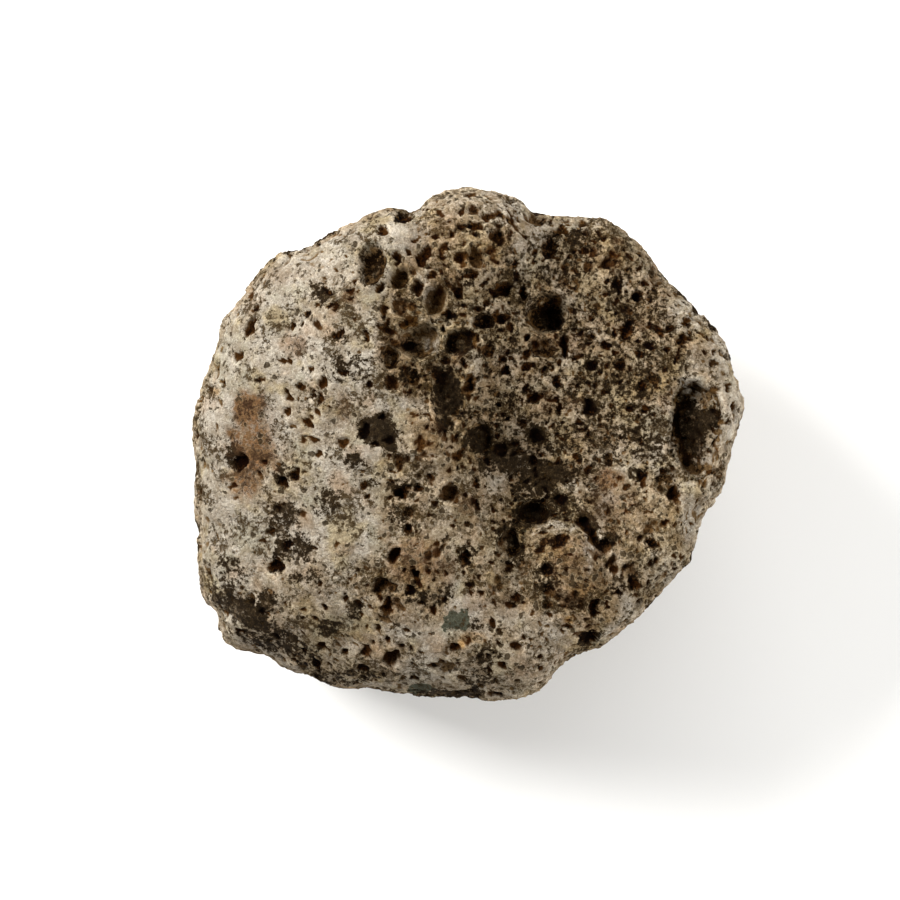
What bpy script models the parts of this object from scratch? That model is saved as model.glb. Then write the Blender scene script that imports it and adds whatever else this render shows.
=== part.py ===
"""A loose hand specimen of pitted rhyolite tuff, lying on its flat broken underside.

The stone is one solid. Its face is mapped on a survey grid laid flat over it: columns run to +X, rows run
to -Y, one grid step is CELL metres, and MIDDLE is the grid point above the origin. Heights are in the same
steps, counted up from the surface that the stone lies on.
"""

import math

import bmesh
import bpy
import numpy as np

# Driving dimensions
CELL = 0.00018              # metres to a grid step: the stone is about 555 steps, 100 mm, wide
MIDDLE = (467.0, 444.0)     # grid column and row above the origin
HUB = (466.0, 446.0)        # grid point that the outline is measured round
BASE_POWER = 3.2            # squareness of the lower half's section, 2 being an ellipse
SECTION_SPREAD = 1.4        # over 1 packs the quads more evenly from the top down to the rim
CROWN_SHARE = 1.4           # over 1 packs more of the quads into the upper half
LEAST_DROP = 8.0            # steps that the underside stays below the widest line

# How the rim keeps to the outline, as shares of the way out
RIM_DETAIL = (0.60, 1.0)    # where the outline's small notches set in, above the widest line
BASE_DETAIL = (0.80, 1.0)   # and below it
SWELLING_HELD = (0.78, 0.96)    # where swellings of the surface fade out
DIPS_HELD = (0.970, 0.999)  # where its dips do
WIDE_ARC = 0.25             # half widths in radians of the arcs over which the outline is averaged: inside
NARROW_ARC = 0.02           # and at the rim

# The widest line round the stone: bearing in degrees from +X towards +Y, height in steps, squareness of the
# section above it
GIRDLE = [
    (0, 228, 5.0), (30, 210, 5.0), (55, 200, 4.4), (75, 205, 4.0), (110, 205, 3.6), (150, 150, 3.4),
    (185, 120, 3.4), (220, 95, 3.2), (262, 140, 3.6), (290, 190, 4.4), (330, 215, 5.0),
]

# The outline as seen from above, clockwise from the knob at the top, as grid columns and rows
OUTLINE = [
    (468, 185), (486, 189), (505, 193), (522, 199), (533, 212), (556, 215), (587, 216), (608, 218),
    (626, 231), (641, 243), (653, 260), (667, 279), (684, 295), (701, 313), (717, 328), (728, 346),
    (735, 376), (744, 396), (743, 420), (732, 448), (728, 468), (722, 495), (705, 515), (698, 537),
    (690, 564), (668, 585), (645, 612), (625, 630), (602, 648), (578, 655), (562, 665), (543, 691),
    (518, 700), (486, 703), (474, 698), (440, 699), (400, 695), (370, 690), (335, 690), (305, 677),
    (281, 670), (264, 657), (238, 651), (219, 641), (215, 614), (202, 603), (196, 570), (197, 530),
    (191, 514), (194, 470), (190, 420), (199, 389), (207, 369), (215, 345), (222, 316), (240, 299),
    (251, 278), (266, 262), (281, 250), (302, 249), (334, 230), (365, 216), (390, 206), (410, 210),
    (418, 209), (427, 198), (446, 189),
]

# Broad facets of the face, the lowest of which is the surface: grid point, height there, then the rise per
# step to the right and downwards
FACETS = [
    (400, 440, 318, 0.00, 0.00),    # crown
    (380, 440, 318, 0.40, -0.05),   # left face, falling to the left
    (300, 290, 298, 0.46, 0.36),    # upper left shoulder
    (450, 400, 319, 0.00, 0.02),    # right face
    (450, 600, 312, 0.02, -0.18),   # lower face
    (600, 250, 298, -0.06, 0.20),   # upper right face, beside the knob
    (245, 625, 238, 0.42, -0.70),   # lower left corner
]
FACET_BLEND = 9.0           # roundness of the edges between facets

# Broken faces of the underside, the highest of which is the surface, told in the same way
UNDERSIDE = [
    (467, 444, -12, 0.00, 0.00),    # the flat that the stone rests on
    (205, 470, 58, -1.70, 0.25),    # left
    (235, 645, 78, -1.20, 1.30),    # lower left
    (450, 690, 44, 0.15, 2.30),     # lower edge
    (655, 620, 128, 1.30, 1.00),    # lower right
    (735, 420, 84, 1.90, -0.40),    # right
    (695, 285, 66, 1.50, -1.20),    # upper right
    (500, 195, 116, 0.30, -1.50),   # top
    (280, 250, 64, -1.30, -1.10),   # upper left
]

# Lumps and hollows: column, row, half width, half height, turn in degrees, rise, steepness of the sides
FORMS = [
    (578, 425, 120, 178, -6, -56, 2.5),     # the bowl that fills the right face
    (476, 234, 62, 56, 0, 28, 3),           # knob at the top
    (392, 228, 26, 22, 0, 12, 3),           # small lump beside the knob
    (564, 250, 29, 46, 8, -20, 3),          # hollow beside the knob, on its right
    (424, 326, 38, 84, 8, -20, 4),          # trough of large vesicles
    (466, 362, 15, 24, 0, 14, 3),           # rib in the trough
    (432, 440, 26, 28, 20, 12, 3),          # spur that shades the middle hollow
    (508, 458, 66, 36, -36, -26, 3),        # middle hollow
    (548, 512, 40, 24, 10, -13, 2.5),       # its lower right arm
    (562, 568, 30, 40, 0, 20, 4),           # nodule
    (606, 522, 15, 28, 40, -12, 3),         # brown hollow beside it
    (416, 566, 38, 32, 0, 9, 4),            # large round clast
    (512, 580, 18, 30, 0, -9, 3),           # gully between the clast and the nodule
    (696, 431, 26, 49, 2, -32, 14),         # pocket near the right edge
    (718, 436, 17, 40, 0, 20, 2.5),         # its gentler right wall
    (706, 420, 12, 10, 0, 9, 3),            # dark clast standing in the pocket
    (249, 448, 22, 46, 6, -6, 5),           # weathered clast on the left face
    (640, 540, 50, 44, -30, 12, 3),         # swelling at the lower right
    (470, 655, 80, 24, 0, 8, 3),            # swelling along the lower edge
    (606, 655, 40, 18, 28, -20, 4),         # step at the lower right edge
]

# Vesicles that show from a step away: column, row, half width, half height, turn in degrees, depth
PITS = [
    (372, 266, 14, 22, -12, 17), (398, 281, 12, 11, 0, 13), (433, 303, 12, 15, 0, 15),
    (414, 342, 20, 17, 15, 22), (391, 358, 11, 13, 0, 14), (456, 343, 13, 16, 0, 18),
    (475, 262, 10, 13, 20, 13), (500, 234, 12, 9, -35, 13), (487, 322, 15, 10, 10, 15),
    (547, 313, 20, 20, 0, 27), (550, 346, 16, 9, 0, 10), (552, 244, 10, 15, 0, 14),
    (449, 392, 15, 26, 0, 17), (376, 435, 21, 17, 0, 11), (478, 440, 14, 20, 0, 12),
    (449, 494, 12, 10, 0, 15), (533, 514, 19, 14, 0, 22), (510, 544, 13, 15, 0, 17),
    (588, 520, 9, 20, 40, 24), (604, 541, 11, 8, 0, 14), (548, 570, 10, 10, 0, 9),
    (384, 592, 10, 18, -20, 14), (394, 656, 11, 9, 0, 12), (588, 641, 12, 8, 25, 12),
    (241, 458, 13, 17, 0, 15), (403, 215, 11, 8, 20, 9), (250, 327, 8, 11, -15, 11),
    (286, 476, 11, 9, 40, 11), (394, 555, 8, 11, -30, 14), (675, 495, 8, 10, 0, 13),
    (637, 296, 8, 8, 0, 10), (594, 608, 8, 9, 0, 10), (536, 398, 8, 8, 0, 12),
]
PIT_WALL = (0.50, 1.15)     # where a vesicle's wall begins and ends, as shares of its half width

# Rolling of the surface: wavelength in steps, height in steps, seed
ROLLS = [(130.0, 9.0, 3), (60.0, 5.0, 5), (32.0, 2.6, 7)]
SIDE_ROLL = 1.6             # how much more the sides and underside roll than the face
SIDE_SLOPE = (-0.1, 0.5)    # upward parts of the normal between which a side becomes the face

# Vesicles scattered over the sides and the underside, which the survey grid doesn't reach
SIDE_PITS = 46
SIDE_PIT_RADIUS = (9.0, 19.0)
SIDE_PIT_DEPTH = 0.7        # as a share of the radius
SIDE_PIT_SEED = 11
STEEP = 0.25                # upward part of the normal under which a place counts as side or underside
CLEAR_OF_GROUND = 6.0       # least height of a vesicle there

# Mesh
SPANS = 76                  # quads along each edge of the cube that is blown up into the stone
KEPT_SHARE = 0.141          # share of the triangles that are kept where the surface turns most

# Material
TUFF_COLOUR = (0.30, 0.26, 0.19, 1.0)
TUFF_ROUGHNESS = 0.92


def fade(low, high, value):
    """Smooth step from 0 at low to 1 at high."""
    share = np.clip((value - low) / (high - low), 0.0, 1.0)
    return share * share * (3.0 - 2.0 * share)


def lattice_noise(points, wavelength, seed):
    """Gradient noise, about -1 to 1: random slopes at a cubic lattice's corners, blended between them."""
    spot = points / wavelength + seed * 7.31
    corner = np.floor(spot).astype(np.int64)
    part = spot - corner
    blend = part ** 3 * (part * (6.0 * part - 15.0) + 10.0)
    total = np.zeros(len(points))
    for step in np.ndindex(2, 2, 2):
        at = corner + step
        key = (at[:, 0] * 73856093) ^ (at[:, 1] * 19349663) ^ (at[:, 2] * 83492791) ^ (seed * 40503)
        key = ((key ^ (key >> 13)) * 1274126177) & 0xFFFFFFFF
        key ^= key >> 16
        slope = np.stack([(key >> shift & 255) / 127.5 - 1.0 for shift in (0, 8, 16)], axis=1)
        weight = np.prod(np.where(step, blend, 1.0 - blend), axis=1)
        total += weight * np.sum(slope * (part - step), axis=1)
    return total * 1.5


def outline_radius(angle, smoothing):
    """Distance from the hub to the outline at each angle, from the outline's points joined by straight runs
    and then averaged over an arc of the given half width in radians."""
    points = np.array(OUTLINE, float) - HUB
    around = np.arctan2(-points[:, 1], points[:, 0])
    reach = np.hypot(points[:, 0], points[:, 1])
    offsets = np.linspace(-smoothing, smoothing, 9)
    order = np.argsort(around)
    total = sum(np.interp(angle + o, around[order], reach[order], period=2 * math.pi) for o in offsets)
    return total / len(offsets)


def girdle(angle):
    """Height of the widest line and squareness above it at each angle, averaged over an arc."""
    bearings, *values = np.array(GIRDLE, float).T
    around = np.add.outer(np.linspace(-WIDE_ARC, WIDE_ARC, 7), angle)
    places = np.radians(bearings)
    return [np.interp(around, places, value, period=2 * math.pi).mean(axis=0) for value in values]


def turned(points, column, row, half_width, half_height, turn):
    """Distance from a grid point along its own turned axes, as a share of its half width and half height."""
    across = points[:, 0] - column
    down = points[:, 1] - row
    angle = math.radians(turn)
    along = across * math.cos(angle) - down * math.sin(angle)
    aside = across * math.sin(angle) + down * math.cos(angle)
    return np.hypot(along / half_width, aside / half_height)


def lowest(grid, planes):
    """Height at grid points of the lowest of some planes, with the edges between them rounded."""
    heights = [h + across * (grid[:, 0] - x) + down * (grid[:, 1] - y) for x, y, h, across, down in planes]
    return -FACET_BLEND * np.log(sum(np.exp(-height / FACET_BLEND) for height in heights))


def face_height(grid, forms):
    """Height of the face at grid points: the lowest of the broad facets, and on it the lumps and hollows,
    each of which falls away as exp(-distance ** steepness)."""
    height = lowest(grid, FACETS)
    for column, row, half_width, half_height, turn, rise, steepness in forms:
        distance = turned(grid, column, row, half_width, half_height, turn)
        height += rise * np.exp(-distance ** steepness)
    return height


def underside_height(grid):
    """Height of the underside at grid points: the highest of its broken faces."""
    return -lowest(grid, [(x, y, -h, -across, -down) for x, y, h, across, down in UNDERSIDE])


def stone_body(sphere, forms):
    """Grid columns, rows and heights of the unweathered body for directions on the unit sphere, which of
    them are on the upper part, and how far out they are as a share of the outline. The polar angle becomes a
    superellipse section that is as wide as the outline and as tall as the face or the underside."""
    polar = np.arccos(np.clip(sphere[:, 2], -1.0, 1.0))
    angle = np.arctan2(sphere[:, 1], sphere[:, 0])
    crown_limit = CROWN_SHARE * math.pi / 2
    upper = polar < crown_limit
    lift = np.where(upper, polar / crown_limit, (math.pi - polar) / (math.pi - crown_limit)) * math.pi / 2
    girdle_height, crown_power = girdle(angle)
    power = np.where(upper, crown_power, BASE_POWER)
    out = np.sin(lift)
    tall = SECTION_SPREAD * np.abs(np.cos(lift))
    size = (out ** power + tall ** power) ** (1.0 / power)
    out, tall = out / size, tall / size
    rim = np.where(upper, fade(*RIM_DETAIL, out), fade(*BASE_DETAIL, out))
    reach = outline_radius(angle, WIDE_ARC) * (1.0 - rim) + outline_radius(angle, NARROW_ARC) * rim
    grid = np.stack([HUB[0] + out * reach * np.cos(angle), HUB[1] - out * reach * np.sin(angle)], axis=1)
    below = np.minimum(underside_height(grid), girdle_height - LEAST_DROP)
    surface = np.where(upper, face_height(grid, forms), below)
    return np.column_stack([grid, girdle_height + (surface - girdle_height) * tall]), upper, out


def held_in(roll, out):
    """The rolling, with its swellings faded out before the outline and its dips right at it."""
    return roll * (1.0 - np.where(roll > 0.0, fade(*SWELLING_HELD, out), fade(*DIPS_HELD, out)))


def above_origin(body):
    """Places right of, behind and above the origin for grid columns, rows and heights."""
    return np.column_stack([body[:, 0] - MIDDLE[0], MIDDLE[1] - body[:, 1], body[:, 2]])


def outward(points, faces):
    """Unit normals at the points, from the area-weighted normals of the quads around them."""
    corners = points[faces]
    quad = np.cross(corners[:, 2] - corners[:, 0], corners[:, 3] - corners[:, 1])
    normal = np.zeros_like(points)
    for side in range(4):
        np.add.at(normal, faces[:, side], quad)
    return normal / np.linalg.norm(normal, axis=1, keepdims=True)


def pit_depth(points, upper, normal):
    """How deep the vesicles cut in at each point. Those on the face are measured on the survey grid, those
    on the sides and underside through the stone, and where two meet the deeper one counts."""
    depth = np.zeros(len(points))
    for column, row, half_width, half_height, turn, deep in PITS:
        distance = turned(points, column, row, half_width, half_height, turn)
        depth = np.maximum(depth, np.where(upper, deep * (1.0 - fade(*PIT_WALL, distance)), 0.0))
    draw = np.random.default_rng(SIDE_PIT_SEED)
    hidden = np.flatnonzero((normal[:, 2] < STEEP) & (points[:, 2] > CLEAR_OF_GROUND))
    for centre in points[draw.choice(hidden, SIDE_PITS)]:
        radius = draw.uniform(*SIDE_PIT_RADIUS)
        distance = np.linalg.norm(points - centre, axis=1) / radius
        depth = np.maximum(depth, SIDE_PIT_DEPTH * radius * (1.0 - fade(*PIT_WALL, distance)))
    return depth


def cube_shell():
    """A cube with a grid of quads on each side, to be blown up into the stone."""
    shell = bmesh.new()
    bmesh.ops.create_cube(shell, size=2.0)
    bmesh.ops.subdivide_edges(shell, edges=shell.edges[:], cuts=SPANS - 1, use_grid_fill=True)
    bmesh.ops.recalc_face_normals(shell, faces=shell.faces[:])
    shell.verts.index_update()
    return shell


def build_stone():
    """Moves the cube's corners onto the stone, thins the mesh where the surface is plain, and gives it its
    material."""
    shell = cube_shell()
    cube = np.array([v.co for v in shell.verts], float)
    faces = np.array([[v.index for v in f.verts] for f in shell.faces])
    even = np.tan(cube * math.pi / 4.0)
    sphere = even / np.linalg.norm(even, axis=1, keepdims=True)
    body, upper, out = stone_body(sphere, FORMS)
    place = above_origin(body)
    normal = outward(above_origin(stone_body(sphere, [])[0]), faces)
    roll = sum(height * lattice_noise(place, wavelength, seed) for wavelength, height, seed in ROLLS)
    roll *= SIDE_ROLL + (1.0 - SIDE_ROLL) * fade(*SIDE_SLOPE, normal[:, 2])
    place += normal * (held_in(roll, out) - pit_depth(body, upper, normal))[:, None]
    place[:, 2] = np.maximum(place[:, 2], 0.0)
    for vertex, spot in zip(shell.verts, place * CELL):
        vertex.co = spot
    mesh = bpy.data.meshes.new("tuff_stone")
    shell.to_mesh(mesh)
    shell.free()
    stone = bpy.data.objects.new("tuff_stone", mesh)
    bpy.context.scene.collection.objects.link(stone)
    thin = stone.modifiers.new("thin", "DECIMATE")
    thin.ratio = KEPT_SHARE
    mesh.shade_smooth()
    mesh.materials.append(tuff_material())


def tuff_material():
    """Dull, dry, pale brown-grey stone."""
    material = bpy.data.materials.new("weathered_tuff")
    material.use_nodes = True
    shader = material.node_tree.nodes["Principled BSDF"]
    shader.inputs["Base Color"].default_value = TUFF_COLOUR
    shader.inputs["Roughness"].default_value = TUFF_ROUGHNESS
    return material


for old in list(bpy.data.objects):
    bpy.data.objects.remove(old)
build_stone()
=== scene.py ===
"""The looks of the rhyolite tuff specimen: its pitted, speckled surface, a pale floor and soft light.

The stone's surface is a function of two parameters on six square grids that wrap it like a cube's sides.
Places on its face are columns and rows of a survey grid, one step of which is CELL metres: columns run to
+X, rows run to -Y, and MIDDLE is the grid point above the frame's origin. Heights are in the same steps. The
body and its large forms are the CAD solid's own. The small vesicles, the foam and the grit are added here.
"""

import math

import bpy
import numpy as np
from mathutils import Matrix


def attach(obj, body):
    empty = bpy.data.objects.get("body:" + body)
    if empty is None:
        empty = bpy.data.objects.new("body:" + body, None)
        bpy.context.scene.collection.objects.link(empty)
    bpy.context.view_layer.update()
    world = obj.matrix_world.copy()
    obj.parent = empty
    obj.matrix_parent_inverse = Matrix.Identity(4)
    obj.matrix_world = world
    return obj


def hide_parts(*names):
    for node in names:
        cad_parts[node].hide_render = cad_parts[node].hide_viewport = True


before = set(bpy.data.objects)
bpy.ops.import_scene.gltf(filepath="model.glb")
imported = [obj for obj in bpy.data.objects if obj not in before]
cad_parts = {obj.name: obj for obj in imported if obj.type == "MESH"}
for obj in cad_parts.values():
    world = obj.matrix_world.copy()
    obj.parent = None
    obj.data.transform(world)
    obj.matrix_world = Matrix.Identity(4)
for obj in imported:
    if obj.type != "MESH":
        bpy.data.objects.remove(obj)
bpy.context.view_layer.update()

# The body, as in the CAD source
CELL = 0.00018              # metres to a grid step: the stone is about 555 steps, 100 mm, wide
MIDDLE = (467.0, 444.0)     # grid column and row above the origin
HUB = (466.0, 446.0)        # grid point that the outline is measured round
BASE_POWER = 3.2            # squareness of the lower half's section, 2 being an ellipse
SECTION_SPREAD = 1.4        # over 1 packs the quads more evenly from the top down to the rim
CROWN_SHARE = 1.4           # over 1 packs more of the quads into the upper half
LEAST_DROP = 8.0            # steps that the underside stays below the widest line

# How the rim keeps to the outline, as shares of the way out
RIM_DETAIL = (0.60, 1.0)    # where the outline's small notches set in, above the widest line
BASE_DETAIL = (0.80, 1.0)   # and below it
SWELLING_HELD = (0.78, 0.96)    # where swellings of the surface fade out
DIPS_HELD = (0.970, 0.999)  # where its dips do
WIDE_ARC = 0.25             # half widths in radians of the arcs over which the outline is averaged: inside
NARROW_ARC = 0.02           # and at the rim

# The widest line round the stone: bearing in degrees from +X towards +Y, height in steps, squareness of the
# section above it
GIRDLE = [
    (0, 228, 5.0), (30, 210, 5.0), (55, 200, 4.4), (75, 205, 4.0), (110, 205, 3.6), (150, 150, 3.4),
    (185, 120, 3.4), (220, 95, 3.2), (262, 140, 3.6), (290, 190, 4.4), (330, 215, 5.0),
]

# The outline as seen from above, clockwise from the knob at the top, as grid columns and rows
OUTLINE = [
    (468, 185), (486, 189), (505, 193), (522, 199), (533, 212), (556, 215), (587, 216), (608, 218),
    (626, 231), (641, 243), (653, 260), (667, 279), (684, 295), (701, 313), (717, 328), (728, 346),
    (735, 376), (744, 396), (743, 420), (732, 448), (728, 468), (722, 495), (705, 515), (698, 537),
    (690, 564), (668, 585), (645, 612), (625, 630), (602, 648), (578, 655), (562, 665), (543, 691),
    (518, 700), (486, 703), (474, 698), (440, 699), (400, 695), (370, 690), (335, 690), (305, 677),
    (281, 670), (264, 657), (238, 651), (219, 641), (215, 614), (202, 603), (196, 570), (197, 530),
    (191, 514), (194, 470), (190, 420), (199, 389), (207, 369), (215, 345), (222, 316), (240, 299),
    (251, 278), (266, 262), (281, 250), (302, 249), (334, 230), (365, 216), (390, 206), (410, 210),
    (418, 209), (427, 198), (446, 189),
]

# Broad facets of the face, the lowest of which is the surface: grid point, height there, then the rise per
# step to the right and downwards
FACETS = [
    (400, 440, 318, 0.00, 0.00),    # crown
    (380, 440, 318, 0.40, -0.05),   # left face, falling to the left
    (300, 290, 298, 0.46, 0.36),    # upper left shoulder
    (450, 400, 319, 0.00, 0.02),    # right face
    (450, 600, 312, 0.02, -0.18),   # lower face
    (600, 250, 298, -0.06, 0.20),   # upper right face, beside the knob
    (245, 625, 238, 0.42, -0.70),   # lower left corner
]
FACET_BLEND = 9.0           # roundness of the edges between facets

# Broken faces of the underside, the highest of which is the surface, told in the same way
UNDERSIDE = [
    (467, 444, -12, 0.00, 0.00),    # the flat that the stone rests on
    (205, 470, 58, -1.70, 0.25),    # left
    (235, 645, 78, -1.20, 1.30),    # lower left
    (450, 690, 44, 0.15, 2.30),     # lower edge
    (655, 620, 128, 1.30, 1.00),    # lower right
    (735, 420, 84, 1.90, -0.40),    # right
    (695, 285, 66, 1.50, -1.20),    # upper right
    (500, 195, 116, 0.30, -1.50),   # top
    (280, 250, 64, -1.30, -1.10),   # upper left
]

# Lumps and hollows: column, row, half width, half height, turn in degrees, rise, steepness of the sides
FORMS = [
    (578, 425, 120, 178, -6, -56, 2.5),     # the bowl that fills the right face
    (476, 234, 62, 56, 0, 28, 3),           # knob at the top
    (392, 228, 26, 22, 0, 12, 3),           # small lump beside the knob
    (564, 250, 29, 46, 8, -20, 3),          # hollow beside the knob, on its right
    (424, 326, 38, 84, 8, -20, 4),          # trough of large vesicles
    (466, 362, 15, 24, 0, 14, 3),           # rib in the trough
    (432, 440, 26, 28, 20, 12, 3),          # spur that shades the middle hollow
    (508, 458, 66, 36, -36, -26, 3),        # middle hollow
    (548, 512, 40, 24, 10, -13, 2.5),       # its lower right arm
    (562, 568, 30, 40, 0, 20, 4),           # nodule
    (606, 522, 15, 28, 40, -12, 3),         # brown hollow beside it
    (416, 566, 38, 32, 0, 9, 4),            # large round clast
    (512, 580, 18, 30, 0, -9, 3),           # gully between the clast and the nodule
    (696, 431, 26, 49, 2, -32, 14),         # pocket near the right edge
    (718, 436, 17, 40, 0, 20, 2.5),         # its gentler right wall
    (706, 420, 12, 10, 0, 9, 3),            # dark clast standing in the pocket
    (249, 448, 22, 46, 6, -6, 5),           # weathered clast on the left face
    (640, 540, 50, 44, -30, 12, 3),         # swelling at the lower right
    (470, 655, 80, 24, 0, 8, 3),            # swelling along the lower edge
    (606, 655, 40, 18, 28, -20, 4),         # step at the lower right edge
]

# Relief of the whole surface: wavelength in steps, height in steps, seed
ROLLS = [(130.0, 9.0, 3), (60.0, 5.0, 5), (32.0, 2.6, 7)]
SIDE_ROLL = 1.6             # how much more the sides and underside roll than the face
GRIT = [(15.0, 2.4, 13), (8.0, 1.7, 17), (4.4, 1.1, 19)]
RIM_SINK = 2.2              # steps that the surface sinks at the outline, so that grit stays inside the body
RIM_SINKS = (0.93, 1.0)     # shares of the way out between which it does
NOTCH = 13.0                # depth in steps of the notches in the outline, and their wavelength
NOTCH_LENGTH = 13.0
NOTCH_SEED = 23
CALM_GRIT = 0.35            # share of the grit where there is no foam

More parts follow.
